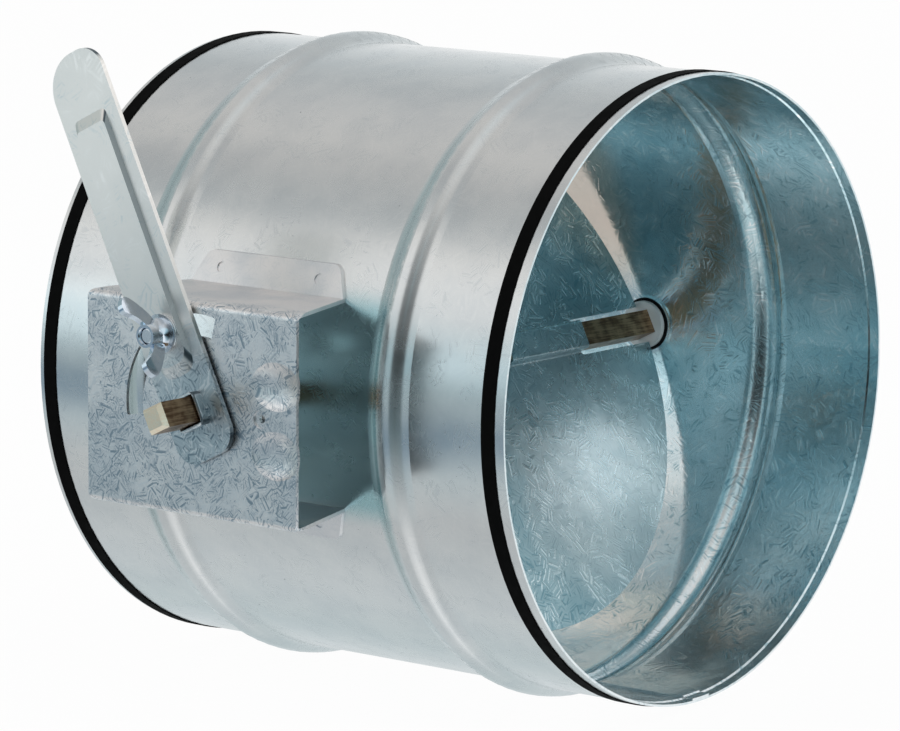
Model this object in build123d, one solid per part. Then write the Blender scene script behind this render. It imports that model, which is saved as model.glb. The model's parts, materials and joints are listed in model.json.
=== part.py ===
from build123d import *
import math
import os

# Volume control damper for a DN 250 round duct, in millimetres.
# The origin is where the duct axis (X) crosses the blade shaft axis (Y).
# +X is the outlet end, -Y the side with the operating handle, +Z is up.

# ---- casing ----
duct_radius = 124.3          # outside of the spigot, fits inside a 250 mm duct
duct_sheet = 0.9             # galvanised sheet of the casing
duct_length = 235.0
bead_offset = 62.0           # centre of each rolled bead from the middle
bead_width = 20.0
bead_height = 4.0
seam_angle = -91.0           # where the longitudinal lap starts, seen along the duct
seam_width = 11.0            # how far the lap runs round the casing

# ---- duct gaskets ----
gasket_width = 6.5
inlet_gasket_inset = 1.9     # of each gasket from the end of its spigot
outlet_gasket_inset = 4.2
gasket_height = 0.5          # how far the rubber stands proud
gasket_groove = 0.6          # depth of the groove rolled for the rubber

# ---- shaft and its bushes ----
bar_size = 10.0              # square brass bar
bar_reach = 26.0             # tip of the bar in front of the bracket
bar_tail = 2.0               # far end beyond the casing, within the far bush
bar_chamfer = 1.4
bar_tip_length = 1.9
journal_radius = 8.0         # nylon bush where it turns in the sheet
running_gap = 0.08           # radial, between journal and hole
flange_radius = 10.0
flange_thickness = 2.0
flange_gap = 0.2             # between a flange and what it turns against
bush_fit = 0.05              # gap on each face of the square bar
seal_radius = 11.2
seal_thickness = 1.3         # rubber between the flange and the casing
journal_reach = 2.6          # of the journal beyond the outside of the casing
clip_radius = 12.5           # spring clip that holds each bush in the casing
clip_thickness = 0.7
clip_teeth = 6
clip_slot = 1.6
clip_slot_reach = 1.7        # of each slot beyond the journal
rim_width = 1.4              # pressed rim round each hole in the casing
rim_height = 0.9

# ---- standoff bracket ----
plate_gap = 37.7             # front face of the bracket from the casing
bracket_sheet = 1.5
plate_left = 57.0            # from the shaft to the inlet end of the plate
plate_right = 48.5           # and to its outlet end
plate_half_height = 41.5
wall_taper_left = 15.0       # how far the end edges draw in towards the casing
wall_taper_right = 13.5
flange_reach = 12.0          # width of the flanges welded on the casing
flange_draw_in = 5.5
flange_corner = 4.5
bracket_bend = 2.6           # outside radius of the folds
plate_corner = 3.0
weld_radius = 2.2            # spot weld marks on the flanges
weld_depth = 0.5
weld_left = -28.5
weld_right = 21.0

# ---- slot and pressings in the plate ----
slot_radius = 32.8           # centre line of the arc slot
slot_width = 8.6
slot_start = 77.0            # degrees from the outlet side
slot_end = 189.0
slot_corner = 0.8
dent_length = 24.0           # the two hollows pressed in beside the outlet edge
dent_height = 18.6
dent_depth = 2.2
dent_round = 6.0             # depth of the whole ellipsoid that shapes a hollow
dent_inset = 10.0            # of their middles from the outlet edge
dent_offset = 13.2           # of each hollow from the shaft level
dimple_x = 31.0
dimple_radius = 4.4
dimple_depth = 0.9
dimple_hole = 1.5

# ---- blade ----
blade_side_gap = 3.6         # between the blade and the casing beside the shaft
blade_edge_gap = 7.6         # and at the edges that swing, which never shut tight
blade_sheet = 1.0
open_angle = 26.0            # how far the blade stands open
channel_outer = 73.0         # the pressed straps run along the bar from here
channel_inner = 22.0         # to here, in front of the bar
strap_gap = 3.0              # slit between a front strap and the rear strap
channel_bend = 1.2
notch_half = 7.8             # notch in the blade where the bar is bare
notch_corner = 1.8
rivet_radius = 1.6
rivet_head = 3.2
rivet_head_height = 1.4
rivet_head_round = 1.0
rivet_length = 4.2
rivet_root = 0.1             # of the shank within its head
rivet_fit = 0.05
rivet_spacing = 24.0

# ---- handle ----
lever_sheet = 2.0
lever_width = 29.2
lever_top = 146.2            # from the shaft to the end of the handle
lever_foot = 19.0            # below the shaft
lever_gap = 1.0              # between the handle and the bracket
lever_inlet_corner = 15.5     # rounded corners at the top
lever_outlet_corner = 10.0
lever_foot_corner = 9.0
pad_width = 15.4             # top of the raised panel pressed along the handle
pad_start = 19.0
pad_end = 116.6
pad_height = 1.9
pad_side_slope = 1.0         # run of the panel's sloping walls
pad_end_slope = 4.6
pad_corner = 2.2
pad_foot_corner = 5.6        # the panel ends in a rounder form near the shaft
pad_wall = 1.2               # thickness of the sloping walls
collar_size = 13.8           # drawn collar round the square hole
collar_height = 4.4
collar_lip = 0.8             # rounding of its mouth
collar_root = 0.5            # how far it is rooted in the strip
collar_flare = 0.7           # the mouth of its hole opens by this much
collar_flare_depth = 2.0
collar_corner = 3.2

# ---- clamp ----
bolt_radius = 3.0            # M6
bolt_inset = 0.8             # toward the shaft from the middle of the slot
bolt_place = slot_radius - bolt_inset
cut_past = 10.0              # how far a cutting form runs past a face
bolt_head_flats = 10.0       # across the flats of the hexagon head
bolt_head_height = 4.0
bolt_head_edge = 0.7         # height of the head's chamfer
bolt_head_edge_run = 1.5
bolt_tip_chamfer = 0.6
head_gap = 0.25              # between the head and the back of the bracket
bolt_hole_gap = 0.2
thread_gap = 0.08
washer_radius = 7.6
washer_thickness = 1.6
nut_base_radius = 6.2
nut_foot = 1.0               # height of its straight foot
nut_top_radius = 4.4
nut_waist = 0.7              # how far the hub is drawn in under its top
nut_height = 8.4
nut_recess = 1.0             # the bolt end lies this far inside the nut
nut_mouth = 0.4              # depth of the flare at the top of its thread
nut_mouth_flare = 0.35
wing_span = 33.0
wing_rise = 14.8             # tip of a wing above the nut's seat
wing_thickness = 2.5
wing_turn = 4.0              # of the wings from the handle's line
nut_neck = 5.712             # height of the hub's narrowest place under its top
wing_root_start = 1.2        # a wing leaves the hub between these heights
wing_root_end = 5.544
wing_root_inset = 1.1        # its upper root lies this far within the hub's top
wing_shoulder = 2.96         # its outer corner lies this far below its top
wing_crown = 6.048           # width of its rounded top
wing_crown_peak = (2.184, 0.222)   # a point of that rounding, inwards and down from its corner
wing_low_bend = (3.96, 6.512)      # lower edge: inwards from the tip, and height
wing_high_bend = (6.93, 8.88)      # upper edge: outwards from the bolt, and height

os.makedirs("parts", exist_ok=True)

duct_inner = duct_radius - duct_sheet
plate_standoff = duct_radius + plate_gap
bar_front = plate_standoff + bar_reach
bar_rear = duct_radius + bar_tail
bar_half = bar_size / 2


def save(solid, name):
    solid.label = name
    export_step(solid, "parts/" + name + ".step")


def tilted(solid):
    """Turn a piece built with an upright handle to where the handle stands."""
    return solid.rotate(Axis.Y, -open_angle)


def across(radius, y_from, y_to, x=0.0, z=0.0):
    """A round bar parallel to the shaft between two stations."""
    length = abs(y_to - y_from)
    middle = (y_from + y_to) / 2
    return Pos(x, middle, z) * Rot(90, 0, 0) * Cylinder(radius, length)


def block(x, y, z):
    """A box between pairs of coordinates."""
    size = [b - a for a, b in (x, y, z)]
    middle = [(a + b) / 2 for a, b in (x, y, z)]
    return Pos(*middle) * Box(*size)


def bar_space(y_from, y_to, gap):
    """The square room for the bar between two stations."""
    half = bar_half + gap
    return block((-half, half), (y_from, y_to), (-half, half))


# ---- casing ----
def casing_line(inset):
    """Edges of the casing's section, inset from its outside, inlet to outlet."""
    half = bead_width / 2
    turn = 2 * math.atan2(bead_height, half)
    radius = duct_radius - inset
    end = duct_length / 2
    groove = gasket_groove
    edges = []
    here = (-end, radius)

    def line_to(point):
        nonlocal here
        edges.append(Line(here, point))
        here = point

    def arc_to(middle, point):
        nonlocal here
        edges.append(ThreePointArc(here, middle, point))
        here = point

    def groove_at(start, stop):
        line_to((start, radius))
        line_to((start + groove, radius - groove))
        line_to((stop - groove, radius - groove))
        line_to((stop, radius))

    def bead_at(centre):
        crest_radius = (half ** 2 + bead_height ** 2) / (4 * bead_height)
        foot = crest_radius + inset
        crest = crest_radius - inset
        foot_centre = duct_radius + crest_radius
        crest_centre = duct_radius + bead_height - crest_radius
        line_to((centre - half, radius))
        for side in (-1, 1):
            low_x, high_x = centre + side * half, centre
            half_turn = turn / 2
            low_mid = (low_x - side * foot * math.sin(half_turn),
                       foot_centre - foot * math.cos(half_turn))
            join = (low_x - side * foot * math.sin(turn),
                    foot_centre - foot * math.cos(turn))
            high_mid = (centre + side * crest * math.sin(half_turn),
                        crest_centre + crest * math.cos(half_turn))
            top = (high_x, crest_centre + crest)
            if side < 0:
                arc_to(low_mid, join)
                arc_to(high_mid, top)
            else:
                arc_to(high_mid, join)
                arc_to(low_mid, (low_x, radius))

    groove_at(-end + inlet_gasket_inset, -end + inlet_gasket_inset + gasket_width)
    bead_at(-bead_offset)
    bead_at(bead_offset)
    groove_at(end - outlet_gasket_inset - gasket_width, end - outlet_gasket_inset)
    line_to((end, radius))
    return edges


def casing_section(outer, inner):
    """Closed section of sheet between two insets, in the X-Y plane."""
    first = casing_line(outer)
    second = casing_line(inner)
    ends = [Line(first[0] @ 0, second[0] @ 0), Line(first[-1] @ 1, second[-1] @ 1)]
    return make_face(Wire(first + second + ends))


def duct_casing():
    shell = revolve(casing_section(0, duct_sheet), Axis.X, 360)
    lap_section = casing_section(duct_sheet, 2 * duct_sheet)
    lap_turn = math.degrees(seam_width / duct_inner)
    lap = revolve(lap_section, Axis.X, lap_turn)
    lap = lap.rotate(Axis.X, seam_angle)
    shell = shell + lap
    hole = journal_radius + running_gap
    for side in (-1, 1):
        rim_face = side * (duct_inner - rim_height)
        rim = across(seal_radius + rim_width, rim_face, side * (duct_radius - duct_sheet / 2))
        rim = rim - across(seal_radius, rim_face - side, side * duct_radius)
        shell = shell + (rim & outside_of_bore())
        shell = shell - across(hole, side * (duct_inner - 5), side * (duct_radius + 5))
    return shell


def outside_of_bore():
    """Everything within the middle of the casing's sheet."""
    return Cylinder(duct_radius - duct_sheet / 2, duct_length, rotation=(0, 90, 0))


def gasket(side):
    """A flat rubber band seated in its groove, on the outlet (1) or inlet (-1)."""
    inset = outlet_gasket_inset if side > 0 else inlet_gasket_inset
    near = duct_length / 2 - inset
    far = near - gasket_width
    top = duct_radius + gasket_height
    bottom = duct_radius - gasket_groove
    edge = gasket_height
    points = [(near - gasket_groove, bottom), (near, duct_radius), (near - edge / 2, top),
              (far + edge / 2, top), (far, duct_radius), (far + gasket_groove, bottom)]
    section = make_face(Polyline(points, close=True))
    ring = revolve(section, Axis.X, 360)
    return ring if side > 0 else ring.mirror(Plane.YZ)


# ---- bushes and seals ----
flange_seat = duct_inner - seal_thickness - flange_gap


def casing_bush(side):
    inner = side * (flange_seat - flange_thickness)
    bush = across(flange_radius, inner, side * flange_seat)
    bush = bush + across(journal_radius, inner, side * (duct_radius + journal_reach))
    return bush - bar_space(*sorted((inner - side, side * (duct_radius + 5))), bush_fit)


def bush_clip(side):
    """Spring washer pushed on to the journal outside the casing, with slots for its teeth."""
    face = duct_radius + flange_gap
    clip = across(clip_radius, side * face, side * (face + clip_thickness))
    clip = clip - across(journal_radius, side * (face - 1), side * (face + 5))
    for step in range(clip_teeth):
        slot = block((journal_radius - 1, journal_radius + clip_slot_reach),
                     sorted((side * (face - 1), side * (face + 5))),
                     (-clip_slot / 2, clip_slot / 2))
        clip = clip - slot.rotate(Axis.Y, 360 * step / clip_teeth)
    return clip


def bush_seal(side):
    seal = across(seal_radius, side * (flange_seat + flange_gap), side * duct_radius)
    seal = seal & Cylinder(duct_inner, duct_length, rotation=(0, 90, 0))
    return seal - across(journal_radius + 2 * running_gap, 0, side * duct_radius)


def plate_bush():
    back = plate_standoff - bracket_sheet - flange_gap
    bush = across(flange_radius, -(back - flange_thickness), -back)
    bush = bush + across(journal_radius, -back, -(plate_standoff + lever_gap / 2))
    return bush - bar_space(-plate_standoff - 1, -(back - flange_thickness) + 1, bush_fit)


# ---- bracket ----
def bracket_profile(offset):
    """Outline of the hat section, offset outwards, in the Y-Z plane."""
    inner = plate_half_height - bracket_sheet + offset
    front = plate_standoff - bracket_sheet + offset
    seat = duct_radius + offset
    foot = plate_half_height + flange_reach
    foot_y = math.sqrt(seat ** 2 - foot ** 2)
    wall_y = math.sqrt(seat ** 2 - inner ** 2)
    middle = (foot + inner) / 2
    middle_y = math.sqrt(seat ** 2 - middle ** 2)
    return inner, front, foot, foot_y, wall_y, middle, middle_y


def bracket_blank():
    """The folded hat section, full length along the duct."""
    edges = []
    rows = [bracket_profile(0), bracket_profile(bracket_sheet)]
    paths = []
    for inner, front, foot, foot_y, wall_y, middle, middle_y in rows:
        paths.append([(-foot_y, -foot), (-middle_y, -middle), (-wall_y, -inner),
                      (-front, -inner), (-front, inner), (-wall_y, inner),
                      (-middle_y, middle), (-foot_y, foot)])
    for path in paths:
        edges.append(ThreePointArc(path[0], path[1], path[2]))
        edges.append(Polyline(path[2], path[3], path[4], path[5]))
        edges.append(ThreePointArc(path[5], path[6], path[7]))
    for end in (0, -1):
        edges.append(Line(paths[0][end], paths[1][end]))
    section = make_face(Wire(sum([list(edge.edges()) for edge in edges], [])))
    outer_front = bracket_profile(bracket_sheet)[1]
    folds = [corner for corner in section.vertices() if abs(corner.X + outer_front) < 0.01]
    section = fillet(folds, bracket_bend)
    inner_front = bracket_profile(0)[1]
    folds = [corner for corner in section.vertices()
             if abs(corner.X + inner_front) < 0.01 and abs(corner.Y) < plate_half_height]
    section = fillet(folds, bracket_bend - bracket_sheet)
    length = plate_left + plate_right
    blank = extrude(Plane.YZ * section, length)
    return Pos(-plate_left, 0, 0) * blank


def bracket_plan():
    """Room inside the tapered ends of the walls, seen from above."""
    seat = math.sqrt(duct_radius ** 2 - plate_half_height ** 2)
    left, right = -plate_left, plate_right
    front, back = -plate_standoff - 1, -plate_standoff + bracket_sheet
    rear = -seat + flange_reach
    points = [(left, front), (left, back), (left + wall_taper_left, -seat),
              (left + wall_taper_left, rear), (right - wall_taper_right, rear),
              (right - wall_taper_right, -seat), (right, back), (right, front)]
    outline = make_face(Polyline(points, close=True))
    return extrude(outline, 2 * (plate_half_height + flange_reach), both=True)


def bracket_front():
    """Room inside the tapered flanges with their round corners, seen from the front."""
    left, right = -plate_left, plate_right
    root, foot = plate_half_height, plate_half_height + flange_reach
    root_left, root_right = left + wall_taper_left, right - wall_taper_right
    foot_left, foot_right = root_left + flange_draw_in, root_right - flange_draw_in
    upper = [(left, root), (root_left, root), (foot_left, foot),
             (foot_right, foot), (root_right, root), (right, root)]
    lower = [(x, -z) for x, z in reversed(upper)]
    outline = make_face(Polyline(upper + lower, close=True))
    corners = [corner for corner in outline.vertices() if abs(corner.Y) > root + 1]
    outline = fillet(corners, flange_corner)
    plate_ends = [corner for corner in outline.vertices()
                  if min(abs(corner.X - left), abs(corner.X - right)) < 0.01]
    outline = fillet(plate_ends, plate_corner)
    return Rot(90, 0, 0) * extrude(outline, 2 * plate_standoff, both=True)


def arc_slot():
    """The curved slot that the clamp bolt runs in."""
    low, high = slot_radius - slot_width / 2, slot_radius + slot_width / 2
    ring = Circle(high) - Circle(low)
    start, stop = math.radians(slot_start), math.radians(slot_end)
    reach = 3 * high
    count = 4
    turns = [start + (stop - start) * step / count for step in range(count + 1)]
    fan = [(0, 0)] + [(reach * math.cos(turn), reach * math.sin(turn)) for turn in turns]
    face = ring & make_face(Polyline(fan, close=True))
    face = fillet(face.vertices(), slot_corner)
    slot = extrude(face, 2 * bracket_sheet, both=True)
    return Pos(0, -plate_standoff, 0) * Rot(90, 0, 0) * slot


def standoff_bracket():
    bracket = bracket_blank() & bracket_plan() & bracket_front()
    return spot_welds(plate_details(bracket))


def pressing(y, level):
    """A shallow ellipsoid cap beside the plate's outlet edge, set in from the level y."""
    lift = dent_round - dent_depth
    spread = math.sqrt(1 - (lift / dent_round) ** 2)
    half_axes = (dent_length / 2 / spread, dent_round, dent_height / 2 / spread)
    return Pos(plate_right - dent_inset, y - lift, level) * scale(Sphere(1), by=half_axes)


def plate_details(bracket):
    front = -plate_standoff
    back = front + bracket_sheet
    for side in (-1, 1):
        level = side * dent_offset
        room = block((0, plate_right), (back, back + 2 * dent_depth),
                     (level - dent_height, level + dent_height))
        bracket = bracket + (pressing(back, level) & room)
        bracket = bracket - pressing(front, level)
    cup = Pos(dimple_x, 0, 0) * across(dimple_radius, back - 0.2, back + dimple_depth)
    bracket = bracket + cup
    bracket = bracket - across(dimple_radius - bracket_sheet / 2, front - 1,
                               front + dimple_depth, dimple_x)
    bracket = bracket - across(dimple_hole, front - 1, back + 3, dimple_x)
    bracket = bracket - arc_slot()
    return bracket - across(journal_radius + running_gap, front - 5, back + 5)


def spot_welds(bracket):
    """Round marks pressed by the welding tips into the two flanges."""
    level = plate_half_height + flange_reach / 2
    angle = math.degrees(math.asin(level / (duct_radius + bracket_sheet)))
    outside = duct_radius + bracket_sheet
    for side in (-1, 1):
        for place in (weld_left, weld_right):
            mark = across(weld_radius, -(outside - weld_depth), -(outside + 3), place)
            bracket = bracket - mark.rotate(Axis.X, -side * angle)
    return bracket


# ---- shaft ----
def shaft():
    bar = bar_space(-bar_front, bar_rear, 0)
    tip = bar.faces().sort_by(Axis.Y)[0]
    bar = chamfer(tip.edges(), bar_chamfer, bar_tip_length, reference=tip)
    return bar


# ---- blade ----
def blade():
    half = blade_sheet / 2
    gap = bar_half + bush_fit
    wall = gap + blade_sheet
    outline = Ellipse(duct_inner - blade_edge_gap, duct_inner - blade_side_gap)
    disc = Rot(0, -90, 0) * extrude(outline, half, both=True)
    for side in (-1, 1):
        near, far = sorted((side * channel_inner, side * channel_outer))
        disc = disc + block((-half, wall), (near, far), (-wall, wall))
    rear = channel_inner - strap_gap
    disc = disc + block((-wall, half), (-rear, rear), (-wall, wall))
    tops = [edge for edge in disc.edges().filter_by(Axis.Y)
            if abs(abs(edge.center().X) - wall) < 0.01]
    disc = fillet(tops, channel_bend)
    feet = [edge for edge in disc.edges().filter_by(Axis.Y)
            if abs(abs(edge.center().X) - half) < 0.01
            and abs(abs(edge.center().Z) - wall) < 0.01]
    disc = fillet(feet, channel_bend)
    for side in (-1, 1):
        near, far = sorted((side * channel_inner, side * channel_outer))
        disc = disc - block((-wall, gap), (near, far), (-gap, gap))
        notch = block((-wall, wall), sorted((side * channel_outer, side * duct_inner)),
                      (-notch_half, notch_half))
        inner = [edge for edge in notch.edges().filter_by(Axis.X)
                 if abs(abs(edge.center().Y) - channel_outer) < 0.01]
        disc = disc - fillet(inner, notch_corner)
        slit = sorted((side * rear, side * channel_inner))
        disc = disc - block((-wall, wall), slit, (-wall, wall))
    disc = disc - block((-gap, wall), (-rear, rear), (-gap, gap))
    return disc - rivet_shanks(rivet_radius + rivet_fit)


rivet_seat = -(bar_half + bush_fit + blade_sheet)


def rivet_shanks(radius):
    """Both shanks, through the rear strap and into the bar."""
    shank = Cylinder(radius, rivet_length, rotation=(0, 90, 0))
    middle = rivet_seat + rivet_length / 2 - rivet_root
    return [Pos(middle, side * rivet_spacing / 2, 0) * shank for side in (-1, 1)]


def blade_rivets():
    """Two rivets from behind."""
    head = Cylinder(rivet_head, rivet_head_height, rotation=(0, 90, 0))
    rim = head.faces().sort_by(Axis.X)[0].edges()
    head = Pos(rivet_seat - rivet_head_height / 2, 0, 0) * fillet(rim, rivet_head_round)
    rivets = []
    for side, shank in zip((-1, 1), rivet_shanks(rivet_radius)):
        rivets.append(Pos(0, side * rivet_spacing / 2, 0) * head + shank)
    return rivets


# ---- handle ----
lever_back = plate_standoff + lever_gap
lever_front = lever_back + lever_sheet


def slab(width, low, high, y_from, y_to):
    """Part of the upright handle between two heights and two depths."""
    return block((-width / 2, width / 2), sorted((-y_from, -y_to)), (low, high))


def panel_outline(half_width, half_length, shrink):
    """A rectangle that is rounder at the end near the shaft."""
    outline = Rectangle(2 * half_width, 2 * half_length)
    foot = [corner for corner in outline.vertices() if corner.Y < 0]
    outline = fillet(foot, pad_foot_corner - shrink)
    top = [corner for corner in outline.vertices() if corner.Y > half_length - 0.01]
    return fillet(top, pad_corner - shrink)


def pressed_panel(inset, y_base):
    """The panel's raised form above one face of the strip, drawn in by an inset."""
    middle = (pad_start + pad_end) / 2
    half_length = (pad_end - pad_start) / 2 - inset
    half_width = pad_width / 2 - inset
    base = panel_outline(half_width + pad_side_slope, half_length + pad_end_slope, inset / 2)
    top = panel_outline(half_width, half_length, inset / 2 + pad_corner / 4)
    form = loft([base, Pos(0, 0, pad_height) * top])
    return Pos(0, -y_base, middle) * Rot(90, 0, 0) * form


def lever_outline():
    """The strip seen from the front, rounder at the top on the inlet side."""
    middle = (lever_top - lever_foot) / 2
    outline = Pos(0, middle) * Rectangle(lever_width, lever_top + lever_foot)
    outline = fillet(outline.vertices().sort_by(Axis.Y)[:2], lever_foot_corner)
    outline = fillet(outline.vertices().sort_by(Axis.Y)[-2:].sort_by(Axis.X)[0], lever_inlet_corner)
    return fillet(outline.vertices().sort_by(Axis.Y)[-2:].sort_by(Axis.X)[-1], lever_outlet_corner)


def handle_lever():
    strip = extrude(lever_outline(), lever_sheet)
    strip = Pos(0, -lever_back, 0) * Rot(90, 0, 0) * strip
    strip = strip + pressed_panel(0, lever_front) - pressed_panel(pad_wall, lever_back)
    collar = slab(collar_size, -collar_size / 2, collar_size / 2,
                  lever_front - collar_root, lever_front + collar_height)
    collar = fillet(collar.edges().filter_by(Axis.Y), collar_corner)
    lip = collar.faces().sort_by(Axis.Y)[0]
    strip = strip + fillet(lip.edges(), collar_lip)
    strip = strip - bar_space(-lever_front - cut_past, -lever_back + cut_past, bush_fit)
    hole_side = bar_size + 2 * bush_fit
    mouth_side = hole_side + 2 * collar_flare
    flare = loft([Rectangle(hole_side, hole_side),
                  Pos(0, 0, collar_flare_depth) * Rectangle(mouth_side, mouth_side)])
    flare_seat = lever_front + collar_height - collar_flare_depth
    strip = strip - Pos(0, -flare_seat, 0) * Rot(90, 0, 0) * flare
    hole = across(bolt_radius + bolt_hole_gap, -lever_back + cut_past, -lever_front - cut_past,
                  0, bolt_place)
    return strip - hole


# ---- clamp ----
pad_face = lever_front + pad_height
washer_face = pad_face + washer_thickness
nut_face = washer_face + nut_height
head_face = plate_standoff - bracket_sheet - head_gap


def clamp_washer():
    disc = across(washer_radius, -pad_face, -washer_face, 0, bolt_place)
    return disc - across(bolt_radius + bolt_hole_gap, -pad_face + cut_past,
                         -washer_face - cut_past, 0, bolt_place)


def clamp_bolt():
    stem = across(bolt_radius, -head_face, -(nut_face - nut_recess), 0, bolt_place)
    tip = stem.faces().sort_by(Axis.Y)[0]
    stem = chamfer(tip.edges(), bolt_tip_chamfer)
    hexagon = RegularPolygon(bolt_head_flats / 2, 6, major_radius=False, rotation=30)
    head = extrude(hexagon, bolt_head_height)
    reach = bolt_head_flats / math.sqrt(3)
    low = (Align.CENTER, Align.CENTER, Align.MIN)
    straight = bolt_head_height - bolt_head_edge
    blank = Cylinder(reach, straight, align=low)
    blank = blank + Pos(0, 0, straight) * Cone(reach, reach - bolt_head_edge_run, bolt_head_edge,
                                               align=low)
    head = head & blank
    return stem + Pos(0, -head_face, bolt_place) * Rot(-90, 0, 0) * head


def wing():
    """One ear of the wing nut, rising outwards from the hub, in its own plane."""
    reach = wing_span / 2
    root_low = (nut_top_radius, wing_root_start)
    root_high = (nut_top_radius - wing_root_inset, wing_root_end)
    outer = (reach, wing_rise - wing_shoulder)
    inner = (reach - wing_crown, wing_rise)
    bend = (reach - wing_low_bend[0], wing_low_bend[1])
    low_edge = Spline([root_low, bend, outer], tangents=[(1, 0.25), (0.35, 1)])
    peak = (reach - wing_crown_peak[0], wing_rise - wing_crown_peak[1])
    crown = ThreePointArc(outer, peak, inner)
    high_edge = Spline([inner, wing_high_bend, root_high], tangents=[(-0.55, -1), (-0.8, -1)])
    root = Line(root_high, root_low)
    face = make_face(Wire([low_edge, crown, high_edge, root]))
    return extrude(face, wing_thickness / 2, both=True)


def nut_hub():
    """The round body of the nut, waisted between its foot and its top."""
    waist = ((nut_base_radius + nut_top_radius) / 2 - nut_waist, (nut_foot + nut_neck) / 2)
    outline = Polyline((nut_top_radius, nut_neck), (nut_top_radius, nut_height), (0, nut_height),
                       (0, 0), (nut_base_radius, 0), (nut_base_radius, nut_foot))
    side = ThreePointArc((nut_base_radius, nut_foot), waist, (nut_top_radius, nut_neck))
    return revolve(Plane.XZ * make_face(Wire(outline.edges() + [side])), Axis.Z, 360)


def wing_nut():
    """A wing nut standing on the X-Y plane, turned on to the bolt at the end."""
    hub = nut_hub()
    ear = Rot(90, 0, 0) * wing()
    nut = hub + ear + ear.rotate(Axis.Z, 180)
    thread = bolt_radius + thread_gap
    bore = Cylinder(thread, 3 * nut_height)
    mouth = Cone(thread, thread + nut_mouth_flare, nut_mouth,
                 align=(Align.CENTER, Align.CENTER, Align.MAX))
    mouth = Pos(0, 0, nut_height) * mouth
    nut = nut - bore - mouth
    nut = nut.rotate(Axis.Z, 90 + wing_turn)
    return Pos(0, -washer_face, bolt_place) * Rot(90, 0, 0) * nut


def build():
    save(duct_casing(), "duct_casing")
    save(gasket(-1), "inlet_gasket")
    save(gasket(1), "outlet_gasket")
    save(standoff_bracket(), "standoff_bracket")
    save(bush_seal(-1), "near_bush_seal")
    save(bush_seal(1), "far_bush_seal")
    save(tilted(casing_bush(-1)), "near_bush")
    save(tilted(casing_bush(1)), "far_bush")
    save(tilted(bush_clip(-1)), "near_bush_clip")
    save(tilted(bush_clip(1)), "far_bush_clip")
    save(tilted(plate_bush()), "plate_bush")
    bar = shaft()
    save(tilted(bar - rivet_shanks(rivet_radius)), "shaft")
    save(tilted(blade()), "blade")
    save(tilted(Compound(blade_rivets())), "blade_rivets")
    save(tilted(handle_lever()), "handle_lever")
    save(tilted(clamp_bolt()), "clamp_bolt")
    save(tilted(clamp_washer()), "clamp_washer")
    save(tilted(wing_nut()), "wing_nut")


build()
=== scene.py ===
import json
import math

import bpy
from mathutils import Euler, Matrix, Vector


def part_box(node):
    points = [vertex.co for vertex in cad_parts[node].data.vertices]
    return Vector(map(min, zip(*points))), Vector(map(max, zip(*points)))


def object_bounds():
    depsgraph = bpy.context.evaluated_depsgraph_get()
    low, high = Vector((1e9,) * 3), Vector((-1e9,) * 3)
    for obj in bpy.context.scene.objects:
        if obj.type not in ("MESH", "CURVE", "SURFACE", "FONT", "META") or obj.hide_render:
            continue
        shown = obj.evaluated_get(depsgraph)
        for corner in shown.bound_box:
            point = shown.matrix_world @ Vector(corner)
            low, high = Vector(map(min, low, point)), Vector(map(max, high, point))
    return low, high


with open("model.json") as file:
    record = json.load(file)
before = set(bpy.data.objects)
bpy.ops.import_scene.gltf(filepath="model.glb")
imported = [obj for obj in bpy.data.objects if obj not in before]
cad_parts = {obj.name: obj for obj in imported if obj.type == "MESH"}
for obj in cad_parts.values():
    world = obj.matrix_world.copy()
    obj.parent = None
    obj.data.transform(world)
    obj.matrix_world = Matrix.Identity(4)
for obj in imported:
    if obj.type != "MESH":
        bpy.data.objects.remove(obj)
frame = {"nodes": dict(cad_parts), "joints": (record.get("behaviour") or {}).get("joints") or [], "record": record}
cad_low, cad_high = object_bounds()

MM = 0.001
FRONT = Vector((0, -1, 0))           # the way the bracket's plate and the handle face

# The handle and the blade stand upright at the joint's lower limit, and lean from there at rest.
swing = next(joint for joint in frame["joints"] if joint["name"] == "blade_swing")
LEAN = -math.radians(swing["range_deg"][0])
HANDLE_LINE = Vector((-math.sin(LEAN), 0, math.cos(LEAN)))     # up the handle, and up the blade
BLADE_FACING = Vector((math.cos(LEAN), 0, math.sin(LEAN)))     # square to both, towards the outlet


def add_object(name, data):
    added = bpy.data.objects.new(name, data)
    bpy.context.scene.collection.objects.link(added)
    return added


# ---------------------------------------------------------------- camera

VIEW_PLACE = Vector((1.28822, -1.61870, 0.33642))
VIEW_AZIMUTH = math.radians(38.68)   # from the handle side towards the outlet
VIEW_ELEVATION = math.radians(9.31)
VIEW_ROLL = math.radians(0.42)
FOCAL_LENGTH = 207.65                # on a sensor SENSOR_WIDTH wide, both in millimetres
SENSOR_WIDTH = 36


def add_camera():
    data = bpy.data.cameras.new("camera")
    data.sensor_width = SENSOR_WIDTH
    data.lens = FOCAL_LENGTH
    camera = add_object("camera", data)
    upright = Euler((math.pi / 2 - VIEW_ELEVATION, 0, VIEW_AZIMUTH)).to_matrix()
    roll = Euler((0, 0, VIEW_ROLL)).to_matrix()
    camera.matrix_world = (upright @ roll).to_4x4()
    camera.location = VIEW_PLACE
    bpy.context.scene.camera = camera


def mirrored_by(facing):
    """The way that the main view's line of sight goes on from a flat face that faces so."""
    level = math.cos(VIEW_ELEVATION)
    along, across = math.cos(VIEW_AZIMUTH) * level, -math.sin(VIEW_AZIMUTH) * level
    return Vector((across, along, -math.sin(VIEW_ELEVATION))).reflect(facing)


# ---------------------------------------------------------------- node helpers

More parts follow.
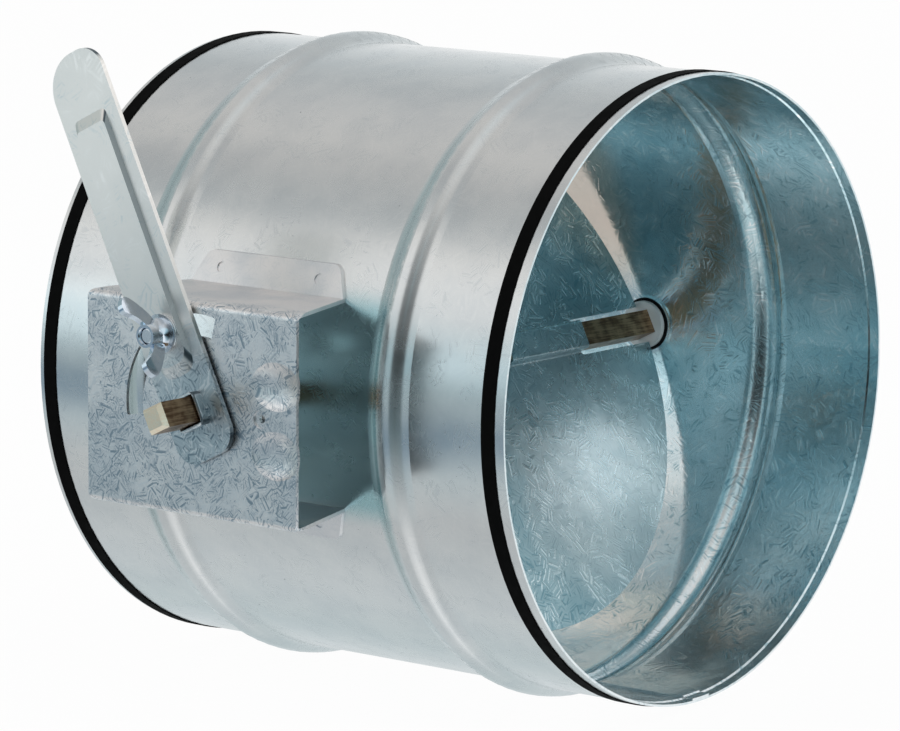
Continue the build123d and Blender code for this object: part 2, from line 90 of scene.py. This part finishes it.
class Graph:
    """Adds shader nodes one by one; an input is a number, a colour or another node's output."""

    def __init__(self, tree):
        self.tree = tree
        tree.nodes.clear()

    def add(self, kind, inputs=None, **settings):
        node = self.tree.nodes.new(kind)
        for name, value in settings.items():
            setattr(node, name, value)
        for name, value in (inputs or {}).items():
            self.put(node.inputs[name], value)
        return node

    def put(self, socket, value):
        if isinstance(value, bpy.types.NodeSocket):
            self.tree.links.new(value, socket)
        elif socket.type == "RGBA":
            socket.default_value = (*value, 1)
        else:
            socket.default_value = value

    def math(self, operation, a, b=0.0):
        return self.add("ShaderNodeMath", {0: a, 1: b}, operation=operation).outputs[0]

    def times(self, a, b):
        return self.math("MULTIPLY", a, b)

    def vector(self, operation, a, b=(0, 0, 0)):
        node = self.add("ShaderNodeVectorMath", {0: a, 1: b}, operation=operation)
        return node.outputs["Value" if operation in ("DOT_PRODUCT", "LENGTH") else "Vector"]

    def facing(self):
        return self.add("ShaderNodeTexCoord").outputs["Normal"]

    def axes(self, place):
        return self.add("ShaderNodeSeparateXYZ", {0: place}).outputs

    def remap(self, value, low, high, to_low=0.0, to_high=1.0):
        """Smoothly carries low..high over to to_low..to_high."""
        inputs = {"Value": value, 1: low, 2: high, 3: to_low, 4: to_high}
        node = self.add("ShaderNodeMapRange", inputs, interpolation_type="SMOOTHSTEP")
        return node.outputs[0]

    def mix(self, factor, a, b):
        """Colour a, and colour b where factor is 1."""
        return self.add("ShaderNodeMix", {0: factor, 6: a, 7: b}, data_type="RGBA").outputs[2]

    def blend_values(self, factor, a, b):
        return self.add("ShaderNodeMix", {0: factor, 2: a, 3: b}, data_type="FLOAT").outputs[0]

    def noise(self, place, size, detail=2.0, roughness=0.5):
        """Noise whose patches are about size millimetres wide."""
        inputs = {"Vector": place, "Scale": 1 / (size * MM), "Detail": detail, "Roughness": roughness}
        return self.add("ShaderNodeTexNoise", inputs).outputs["Fac"]

    def drift(self, place, size, detail, roughness=0.5):
        """Slow change over the sheet, 0 in some parts and 1 in others."""
        return self.remap(self.noise(place, size, detail, roughness), 0.35, 0.65)

    def cells(self, place, size):
        """Crystal cells about size millimetres wide."""
        return self.add("ShaderNodeTexVoronoi", {"Vector": place, "Scale": 1 / (size * MM)})

    def bump(self, height, depth, normal=None):
        """Relief whose full height is depth millimetres."""
        inputs = {"Height": height, "Strength": 1.0, "Distance": depth * MM}
        if normal is not None:
            inputs["Normal"] = normal
        return self.add("ShaderNodeBump", inputs).outputs[0]


def new_material(name):
    material = bpy.data.materials.new(name)
    material.use_nodes = True
    graph = Graph(material.node_tree)
    shader = graph.add("ShaderNodeBsdfPrincipled")
    graph.add("ShaderNodeOutputMaterial", {"Surface": shader.outputs[0]})
    place = graph.add("ShaderNodeTexCoord").outputs["Object"]
    return material, graph, shader, place


def set_surface(graph, shader, colour, roughness, normal=None, metallic=1.0):
    graph.put(shader.inputs["Base Color"], colour)
    graph.put(shader.inputs["Metallic"], metallic)
    graph.put(shader.inputs["Roughness"], roughness)
    if normal is not None:
        graph.put(shader.inputs["Normal"], normal)


# ---------------------------------------------------------------- zinc's crystals

LIGHT_PATTERN, DARK_PATTERN = 0.0, 0.37      # how far each pattern is moved, so that they differ
DARK_FINENESS = 0.8                          # size of the dark pattern beside the light one
STROKE_START, STROKE_WHOLE = 0.44, 0.70      # of the noise along a crystal
PATCH_START, PATCH_WHOLE = 0.10, 0.22        # of the slow noise, each way from its middle


def crystal_strokes(graph, place, cell, stroke, shift):
    """Zinc crystals: fine strokes that run in a direction of their own in each cell."""
    half = (0.5, 0.5, 0.5)
    bent = graph.add("ShaderNodeTexNoise", {"Vector": place, "Scale": 1 / (cell * MM), "Detail": 1.0})
    bent = graph.vector("SUBTRACT", bent.outputs["Color"], half)
    bent = graph.vector("MULTIPLY", bent, (cell * MM,) * 3)
    moved = graph.vector("ADD", graph.vector("ADD", place, bent), (shift, shift * 0.7, shift * 1.3))
    heading = graph.vector("SUBTRACT", graph.cells(moved, cell).outputs["Color"], half)
    heading = graph.vector("NORMALIZE", heading)
    along = graph.vector("DOT_PRODUCT", graph.vector("ADD", place, (shift,) * 3), heading)
    inputs = {"W": graph.times(along, 1 / (stroke * MM)), "Scale": 1.0, "Detail": 2.0}
    noise = graph.add("ShaderNodeTexNoise", inputs, noise_dimensions="1D").outputs[0]
    return graph.remap(noise, STROKE_START, STROKE_WHOLE)


def spangle(graph, place, cell, stroke, share):
    """Light strokes (0..1) and dark strokes (0..1), each over more of the sheet as share grows.

    The crystals are cell millimetres wide, and their strokes stroke millimetres.
    """
    light = crystal_strokes(graph, place, cell, stroke, LIGHT_PATTERN)
    dark = crystal_strokes(graph, place, cell * DARK_FINENESS, stroke * DARK_FINENESS, DARK_PATTERN)
    where = graph.noise(place, cell * 2.2, 3.0)
    start, whole = PATCH_START - share, PATCH_WHOLE - share
    light = graph.times(light, graph.remap(where, 0.5 + start, 0.5 + whole))
    dark = graph.times(dark, graph.remap(where, 0.5 - start, 0.5 - whole))
    return light, dark


def tinted(graph, base, light, dark, light_colour, dark_colour, strength):
    """The base colour under light strokes and dark strokes of that strength."""
    colour = graph.mix(graph.times(light, strength), base, light_colour)
    return graph.mix(graph.times(dark, strength), colour, dark_colour)


def relief(graph, light, dark, depth):
    return graph.bump(graph.math("SUBTRACT", light, dark), depth)


def overlap(graph, *fades):
    """1 where all the values are past their edges: a fade is a value, its start and its whole."""
    part = 1.0
    for value, start, whole in fades:
        part = graph.times(part, graph.remap(value, start, whole))
    return part


# ---------------------------------------------------------------- casing

# Here and below, TONES are the two colours that a sheet drifts between, and STROKES are the
# light strokes' colour, the dark strokes' colour and the strength of both.
OUTER_TONES = (0.78, 0.81, 0.82), (0.85, 0.87, 0.87)
OUTER_STROKES = (0.93, 0.94, 0.93), (0.62, 0.66, 0.69), 0.22
# a painted bluish shade and reflection of the bracket on the casing beneath it
PAINTED_BRACKET_SHADE = (0.40, 0.62, 0.66)
INNER_LIGHT_AND_SHADE = (0.88, 0.93, 0.95), (0.56, 0.76, 0.81)               # painted light low down, and painted shade above the shaft
INNER_SHADE_HEIGHTS = -0.115, 0.040                                         # from the painted light to the painted shade, in height
INNER_PALE = (0.86, 0.94, 0.96)
INNER_STROKES = (0.97, 0.99, 0.99), (0.36, 0.54, 0.60), 0.85
# a painted warm reflection on the far wall behind the blade
PAINTED_WARM_REFLECTION = (0.95, 0.78, 0.66)
PIT = (0.10, 0.11, 0.12)
PIT_SPACING, PIT_SIZE = 9.0, 0.42                                  # millimetres


def casing_outside(graph, place, light, dark, drift):
    """Clean zinc, with a painted bluish shade and reflection of the bracket between its legs and just past them.
    """
    colour = tinted(graph, graph.mix(drift, *OUTER_TONES), light, dark, *OUTER_STROKES)
    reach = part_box("standoff_bracket")[1]
    axes = graph.axes(place)
    # painted shade: the casing is tinted bluish under the bracket and just past it
    shade = overlap(graph,
                    (axes[0], reach.x + 15.5 * MM, reach.x + 1.5 * MM),
                    (axes[0], -10 * MM, 8 * MM),
                    (axes[1], reach.y + 32 * MM, reach.y + 12 * MM),
                    (graph.math("ABSOLUTE", axes[2]), reach.z - 5.5 * MM, reach.z - 17.5 * MM))
    return graph.mix(shade, colour, PAINTED_BRACKET_SHADE)


def casing_inside(graph, place, light, dark, drift):
    """Zinc with painted light low down and a bluer painted shade higher up, and a painted warm reflection on the
    far wall behind the blade.
    """
    axes = graph.axes(place)
    # painted light and shade: paler low down, bluer higher up
    colour = graph.mix(graph.remap(axes[2], *INNER_SHADE_HEIGHTS), *INNER_LIGHT_AND_SHADE)
    colour = graph.mix(graph.times(drift, 0.3), colour, INNER_PALE)
    colour = tinted(graph, colour, light, dark, *INNER_STROKES)
    # painted reflection: a warm patch on the far wall behind the blade
    painted_warm_reflection = overlap(graph, (axes[0], 4 * MM, -12 * MM), (axes[1], 50 * MM, 100 * MM), (axes[2], 0, 30 * MM))
    return graph.mix(graph.times(painted_warm_reflection, 0.8), colour, PAINTED_WARM_REFLECTION)


def pits(graph, place):
    """1 in small dark pits scattered over the sheet, 0 elsewhere."""
    dots = graph.cells(place, PIT_SPACING)
    size = PIT_SIZE / PIT_SPACING
    near = graph.remap(dots.outputs["Distance"], size, size * 0.5)
    few = graph.math("GREATER_THAN", graph.noise(dots.outputs["Position"], PIT_SPACING * 0.7), 0.56)
    return graph.times(near, few)


def casing_steel():
    material, graph, shader, place = new_material("casing_steel")
    radial = graph.vector("NORMALIZE", graph.vector("MULTIPLY", place, (0, 1, 1)))
    inside = graph.remap(graph.vector("DOT_PRODUCT", graph.facing(), radial), 0.25, -0.25)
    light, dark = spangle(graph, place, cell=5.0, stroke=1.3, share=0.14)
    drift = graph.drift(place, 24.0, 4.0, 0.6)
    outer = casing_outside(graph, place, light, dark, drift)
    inner = casing_inside(graph, place, light, dark, drift)
    colour = graph.mix(inside, outer, inner)
    colour = graph.mix(graph.times(pits(graph, place), 0.7), colour, PIT)
    duller = graph.math("ADD", graph.times(dark, 0.06), graph.times(drift, 0.05))
    roughness = graph.math("ADD", graph.blend_values(inside, 0.22, 0.17), duller)
    along_duct = graph.vector("MULTIPLY", place, (0.5, 1, 1))
    wavy = graph.bump(graph.noise(along_duct, 34.0, 1.5), 0.22)
    crystals = graph.times(graph.math("SUBTRACT", light, dark), graph.blend_values(inside, 0.05, 1.0))
    set_surface(graph, shader, colour, roughness, graph.bump(crystals, 0.04, wavy))
    return material


# ---------------------------------------------------------------- bracket, blade and handle

PLATE_EDGE = 12 * MM, 3 * MM          # how far behind the bracket's front it is plain, and mottled
BRACKET_TONES = (0.80, 0.81, 0.83), (0.97, 0.94, 0.93)
BRACKET_STROKES = (1.0, 0.99, 0.98), (0.20, 0.30, 0.38), 0.8

# The blade's dark teal ground is painted shade; then the painted highlight's colour, middle and reach.
BLADE_SHADED_TONES = (0.27, 0.44, 0.50), (0.36, 0.52, 0.57)
BLADE_STROKES = (0.74, 0.88, 0.92), (0.14, 0.30, 0.37), 0.75
BLADE_PAINTED_HIGHLIGHT = (0.92, 0.98, 1.0)
BLADE_HIGHLIGHT_MIDDLE = Vector((0, 62 * MM, 0)) - 54.5 * MM * HANDLE_LINE     # the middle of the blade's painted highlight
HIGHLIGHT_REACH = 78 * MM, 12 * MM         # from the painted highlight's middle to where it ends, and to where it is whole

HANDLE_TONES = (0.88, 0.86, 0.83), (0.94, 0.91, 0.87)
HANDLE_STROKES = (0.98, 0.96, 0.93), (0.60, 0.69, 0.72), 0.5
# Round the shaft: a darker painted shade and reflection of the bar, under real crystal mottling.
FOOT_PAINTED_SHADE = (0.56, 0.64, 0.68)
FOOT_STROKES = (0.90, 0.92, 0.93), (0.16, 0.24, 0.30), 0.85
FOOT_SHADE_REACH = 34 * MM, 10 * MM         # from the shaft's axis up the handle
# painted shade in the handle's side folds
HANDLE_PAINTED_FOLD_SHADE = (0.12, 0.15, 0.17)


def bracket_steel():
    """Densely mottled on its front plate, plainer on the walls and flanges."""
    material, graph, shader, place = new_material("bracket_steel")
    light, dark = spangle(graph, place, cell=4.5, stroke=1.0, share=0.22)
    fine_light, fine_dark = spangle(graph, place, cell=2.6, stroke=0.7, share=0.16)
    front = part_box("standoff_bracket")[0].y
    edge, whole = (front + depth for depth in PLATE_EDGE)
    plate = graph.remap(graph.axes(place)[1], edge, whole, 0.10, 1.0)
    light = graph.times(graph.math("MAXIMUM", light, fine_light), plate)
    dark = graph.times(graph.math("MAXIMUM", dark, fine_dark), plate)
    ground = graph.mix(graph.drift(place, 26.0, 3.0), *BRACKET_TONES)
    colour = tinted(graph, ground, light, dark, *BRACKET_STROKES)
    roughness = graph.blend_values(light, 0.40, 0.28)
    set_surface(graph, shader, colour, roughness, relief(graph, light, dark, 0.02))
    return material


def blade_steel():
    """Duller sheet on a dark teal ground of painted shade, with a painted highlight between the straps and its
    edge.
    """
    material, graph, shader, place = new_material("blade_steel")
    light, dark = spangle(graph, place, cell=5.0, stroke=1.1, share=0.18)
    ground = graph.mix(graph.drift(place, 30.0, 3.0), *BLADE_SHADED_TONES)
    colour = tinted(graph, ground, light, dark, *BLADE_STROKES)
    # painted highlight: brighter towards a point in the blade's lower middle
    from_highlight_middle = graph.vector("LENGTH", graph.vector("SUBTRACT", place, BLADE_HIGHLIGHT_MIDDLE))
    uneven = graph.remap(graph.noise(place, 12.0, 3.0), 0.25, 0.60, 0.75, 1.0)
    painted_highlight = graph.times(graph.remap(from_highlight_middle, *HIGHLIGHT_REACH), uneven)
    colour = graph.mix(painted_highlight, colour, graph.mix(0.85, colour, BLADE_PAINTED_HIGHLIGHT))
    roughness = graph.blend_values(light, 0.30, 0.20)
    set_surface(graph, shader, colour, roughness, relief(graph, light, dark, 0.05))
    return material


def handle_steel():
    """Clean bright zinc along the grip; round the shaft a darker painted shade and reflection of the bar, with
    mottled crystals; painted shade in its side folds.
    """
    material, graph, shader, place = new_material("handle_steel")
    light, dark = spangle(graph, place, cell=6.0, stroke=1.4, share=0.08)
    ground = graph.mix(graph.drift(place, 36.0, 3.0), *HANDLE_TONES)
    grip = tinted(graph, ground, light, dark, *HANDLE_STROKES)
    foot_strokes = spangle(graph, place, cell=4.0, stroke=1.2, share=0.22)
    # real crystal mottling on a painted shade and reflection of the bar
    mottle_and_painted_shade = tinted(graph, FOOT_PAINTED_SHADE, *foot_strokes, *FOOT_STROKES)
    foot_mottle_and_shade = graph.remap(graph.vector("DOT_PRODUCT", place, HANDLE_LINE), *FOOT_SHADE_REACH)
    aside = graph.vector("DOT_PRODUCT", graph.facing(), BLADE_FACING)
    # painted shade on the pad's walls that turn aside
    painted_fold_shade = overlap(graph, (aside, 0.25, 0.45), (aside, 0.95, 0.85))
    colour = graph.mix(painted_fold_shade, graph.mix(foot_mottle_and_shade, grip, mottle_and_painted_shade), HANDLE_PAINTED_FOLD_SHADE)
    roughness = graph.blend_values(light, 0.38, 0.30)
    set_surface(graph, shader, colour, roughness, relief(graph, light, dark, 0.004))
    return material


# ---------------------------------------------------------------- smaller pieces

BAR_SIDES = (0.16, 0.09, 0.05), (0.48, 0.32, 0.19)
BAR_ENDS = (1.0, 0.82, 0.62), (1.0, 0.90, 0.72)
PLATED = (0.78, 0.82, 0.86)
TURNS_TO_SCALE = math.tau / 20        # a wave texture has this scale where it has one turn a unit
THREAD_PITCH, THREAD_DEPTH = 1.0, 0.25                             # millimetres


def brass():
    """Drawn bar: tarnished brown on its sides, bright where it is cut at the tip."""
    material, graph, shader, place = new_material("brass")
    cut = graph.remap(graph.math("ABSOLUTE", graph.axes(graph.facing())[1]), 0.25, 0.6)
    grain = graph.noise(graph.vector("MULTIPLY", place, (1, 0.05, 1)), 0.6, 3.0)
    level = graph.remap(graph.blend_values(0.5, grain, graph.noise(place, 5.0)), 0.38, 0.62)
    colour = graph.mix(cut, graph.mix(level, *BAR_SIDES), graph.mix(level, *BAR_ENDS))
    set_surface(graph, shader, colour, graph.blend_values(level, 0.42, 0.30), graph.bump(grain, 0.01))
    return material


def plain_metal(name, dark, light, rough):
    material, graph, shader, place = new_material(name)
    cloud = graph.noise(place, 3.0, 3.0)
    roughness = graph.remap(cloud, 0.3, 0.7, rough + 0.08, rough)
    set_surface(graph, shader, graph.mix(cloud, dark, light), roughness)
    return material


def threaded_zinc():
    """The clamp bolt's shank is cut with a thread."""
    material, graph, shader, place = new_material("zinc_plated_steel")
    inputs = {"Vector": place, "Scale": TURNS_TO_SCALE / (THREAD_PITCH * MM)}
    turns = graph.add("ShaderNodeTexWave", inputs, bands_direction="Y").outputs["Fac"]
    set_surface(graph, shader, PLATED, 0.24, graph.bump(turns, THREAD_DEPTH))
    return material


def plain_surface(name, colour, rough, gloss):
    material, graph, shader, place = new_material(name)
    roughness = graph.remap(graph.noise(place, 4.0, 3.0), 0.3, 0.7, rough + 0.06, rough - 0.06)
    set_surface(graph, shader, colour, roughness, metallic=0.0)
    graph.put(shader.inputs["Specular IOR Level"], gloss)
    return material


def dress():
    """Gives each CAD node the material of its slot in the record."""
    looks = {
        "casing_steel": casing_steel(),
        "bracket_steel": bracket_steel(),
        "blade_steel": blade_steel(),
        "handle_steel": handle_steel(),
        "brass": brass(),
        "rivet_steel": plain_metal("rivet_steel", (0.60, 0.63, 0.66), (0.74, 0.76, 0.78), 0.28),
        "spring_steel": plain_metal("spring_steel", (0.22, 0.23, 0.25), (0.34, 0.35, 0.37), 0.36),
        "bright_zinc": plain_metal("bright_zinc", (0.62, 0.71, 0.82), (0.82, 0.88, 0.94), 0.07),
        "zinc_plated_steel": threaded_zinc(),
        "gasket_rubber": plain_surface("gasket_rubber", (0.003, 0.003, 0.003), 0.75, 0.05),
        "seal_rubber": plain_surface("seal_rubber", (0.006, 0.006, 0.007), 0.6, 0.1),
        "nylon": plain_surface("nylon", (0.94, 0.95, 0.95), 0.42, 0.5),
    }
    for part in frame["record"]["subparts"]:
        mesh = frame["nodes"][part["node"]].data
        mesh.materials.clear()
        mesh.materials.append(looks[part["material_slot"]])


# ---------------------------------------------------------------- studio

WHITE = (1, 1, 1)
DARKEST = 0.02

# Tints of the studio's walls and gaps. A colour there is a level of light, where 1 is white,
# times a tint.
PLAIN = (1.00, 1.00, 1.00)
PALE = (0.96, 1.01, 1.03)
COOL = (0.91, 1.03, 1.06)
TEAL = (0.76, 1.07, 1.17)
INK = (0.60, 1.00, 1.40)
WARM = (1.03, 1.00, 0.97)

# What the metal mirrors, going round the duct's axis: degrees above the horizon of the
# handle's side, then the level and the tint there.
INLET_SIDE = (
    (-180, 1.05, PLAIN), (-150, 0.80, PALE), (-120, 0.60, COOL), (-90, 0.65, PALE),
    (-66, 0.55, PALE), (-48, 0.55, PLAIN), (-30, 0.60, COOL), (-18, 0.20, INK),
    (-6, 0.45, COOL), (4, 0.45, TEAL), (14, 0.45, TEAL), (24, 0.80, PLAIN),
    (36, 0.85, PLAIN), (48, 0.80, WARM), (60, 0.45, PALE), (75, 0.45, PLAIN),
    (90, 0.60, WARM), (110, 0.55, PLAIN), (130, 0.50, PALE), (155, 0.70, PALE),
)
OUTLET_SIDE = (
    (-150, 0.95, PALE), (-110, 1.25, PLAIN), (-80, 1.00, PLAIN), (-50, 0.75, PLAIN),
    (-20, 0.20, TEAL), (10, DARKEST, PLAIN), (40, 0.25, PALE), (70, 0.65, WARM),
    (100, 0.70, PALE), (140, 0.45, COOL),
)
OUTLET_FRONT = (
    (-150, 1.20, PLAIN), (-110, 1.25, PLAIN), (-80, 0.95, PALE), (-50, 0.35, TEAL),
    (-20, DARKEST, PLAIN), (10, DARKEST, PLAIN), (40, 0.55, TEAL), (70, 0.85, COOL),
    (100, 0.85, COOL), (140, 0.65, PALE),
)
INLET_END = (0.33, 0.41, 0.42)
INLET_END_EDGE = -0.74, -0.90          # in the share of a heading that lies along the duct
OUTLET_EDGE = 0.0, 0.35
OUTLET_FRONT_EDGE = 0.50, 0.72
SOFTBOX_EDGE = math.cos(math.radians(28.1)), math.cos(math.radians(13.5))


def studio_ring(graph, turn, plan):
    """The studio's colour round the duct axis, closed into a ring."""
    stops = [(degrees, [level * part for part in tint]) for degrees, level, tint in plan]
    (first_at, first), (last_at, last) = stops[0], stops[-1]
    seam_share = (180 - last_at) / (first_at + 360 - last_at)
    seam = [b + (a - b) * seam_share for a, b in zip(first, last)]
    ramp = graph.add("ShaderNodeValToRGB", {0: turn})
    made = ramp.color_ramp.elements
    made.remove(made[1])
    for index, (degrees, colour) in enumerate([(-180, seam), *stops, (180, seam)]):
        place = degrees / 360 + 0.5
        stop = made[0] if index == 0 else made.new(place)
        stop.position = place
        stop.color = (*colour, 1)
    return ramp.outputs[0]


def add_world():
    """White to the camera; the metal mirrors the studio's rings, its inlet end and its softbox."""
    world = bpy.data.worlds.new("studio")
    world.use_nodes = True
    bpy.context.scene.world = world
    graph = Graph(world.node_tree)
    heading = graph.add("ShaderNodeTexCoord").outputs["Generated"]
    axes = graph.axes(heading)
    turn = graph.math("ARCTAN2", axes[2], graph.times(axes[1], -1.0))
    turn = graph.math("ADD", graph.math("DIVIDE", turn, math.tau), 0.5)
    inlet = studio_ring(graph, turn, INLET_SIDE)
    inlet = graph.mix(graph.remap(axes[0], *INLET_END_EDGE), inlet, INLET_END)
    side, front = studio_ring(graph, turn, OUTLET_SIDE), studio_ring(graph, turn, OUTLET_FRONT)
    outlet = graph.mix(graph.remap(axes[0], *OUTLET_FRONT_EDGE), side, front)
    mirrored = graph.mix(graph.remap(axes[0], *OUTLET_EDGE), inlet, outlet)
    towards_box = graph.vector("DOT_PRODUCT", heading, mirrored_by(BLADE_FACING))
    mirrored = graph.mix(graph.remap(towards_box, *SOFTBOX_EDGE), mirrored, WHITE)
    seen = graph.mix(graph.add("ShaderNodeLightPath").outputs["Is Camera Ray"], mirrored, WHITE)
    background = graph.add("ShaderNodeBackground", {"Color": seen, "Strength": 1.0})
    graph.add("ShaderNodeOutputWorld", {"Surface": background.outputs[0]})


KEY_PLACE = Vector((-1.1, -1.5, 1.5))
KEY_SIZE = 0.9
KEY_WATTS = 8

# Each card stands where the main view's line of sight goes on from the face that mirrors it.
HANDLE_CARD_PLACE = Vector((-0.285, -0.435, 0.085))
HANDLE_CARD_SIZE = 0.26, 0.17          # across and up
HANDLE_CARD_GLOW = 0.48                # a glow of 1 is white
BLADE_CARD_PLACE = BLADE_HIGHLIGHT_MIDDLE + Vector((0.036, 0.048, 0.025))
BLADE_CARD_SIZE = 0.040, 0.040
BLADE_CARD_GLOW = 0.45


def add_area_light(name, shape, size, watts, place, facing):
    data = bpy.data.lights.new(name, "AREA")
    data.shape = shape
    data.size, data.size_y = size
    data.energy = watts
    light = add_object(name, data)
    light.location = place
    light.rotation_euler = facing.to_track_quat("-Z", "Y").to_euler()
    return light


def add_key():
    """A round lamp that faces the object and isn't mirrored in it."""
    lamp = add_area_light("key", "DISK", (KEY_SIZE, KEY_SIZE), KEY_WATTS, KEY_PLACE, -KEY_PLACE)
    lamp.visible_glossy = False


def add_card(name, place, mirrored_in, size, glow):
    """A small lit oval card that only what is near it mirrors; it faces back to its mirror."""
    watts = glow * math.pi * (math.pi / 4 * size[0] * size[1])
    card = add_area_light(name, "ELLIPSE", size, watts, place, -mirrored_by(mirrored_in))
    card.visible_camera = False


FLOOR_HALF = 6.0
FLOOR_WHITE = 0.97                     # share of the floor that is plain white; the rest takes the shadow
FLOOR_GREY = (0.9, 0.9, 0.9)


def add_floor():
    """A white floor that keeps a faint shadow, and isn't mirrored in the metal."""
    mesh = bpy.data.meshes.new("floor")
    corners = [(x * FLOOR_HALF, y * FLOOR_HALF, 0) for x, y in ((-1, -1), (1, -1), (1, 1), (-1, 1))]
    mesh.from_pydata(corners, [], [(0, 1, 2, 3)])
    floor = add_object("floor", mesh)
    floor.location.z = cad_low.z
    material = bpy.data.materials.new("floor")
    material.use_nodes = True
    graph = Graph(material.node_tree)
    matt = graph.add("ShaderNodeBsdfDiffuse", {"Color": FLOOR_GREY})
    white = graph.add("ShaderNodeEmission", {"Color": WHITE, "Strength": 1.0})
    clear = graph.add("ShaderNodeBsdfTransparent")
    rays = graph.add("ShaderNodeLightPath").outputs
    lit = graph.times(rays["Is Camera Ray"], FLOOR_WHITE)
    shown = graph.add("ShaderNodeMixShader", {0: lit, 1: matt.outputs[0], 2: white.outputs[0]})
    inputs = {0: rays["Is Glossy Ray"], 1: shown.outputs[0], 2: clear.outputs[0]}
    whole = graph.add("ShaderNodeMixShader", inputs)
    graph.add("ShaderNodeOutputMaterial", {"Surface": whole.outputs[0]})
    mesh.materials.append(material)


add_camera()
dress()
add_world()
add_key()
add_card("handle card", HANDLE_CARD_PLACE, FRONT, HANDLE_CARD_SIZE, HANDLE_CARD_GLOW)
add_card("blade card", BLADE_CARD_PLACE, BLADE_FACING, BLADE_CARD_SIZE, BLADE_CARD_GLOW)
add_floor()
bpy.context.scene.view_settings.view_transform = "Standard"
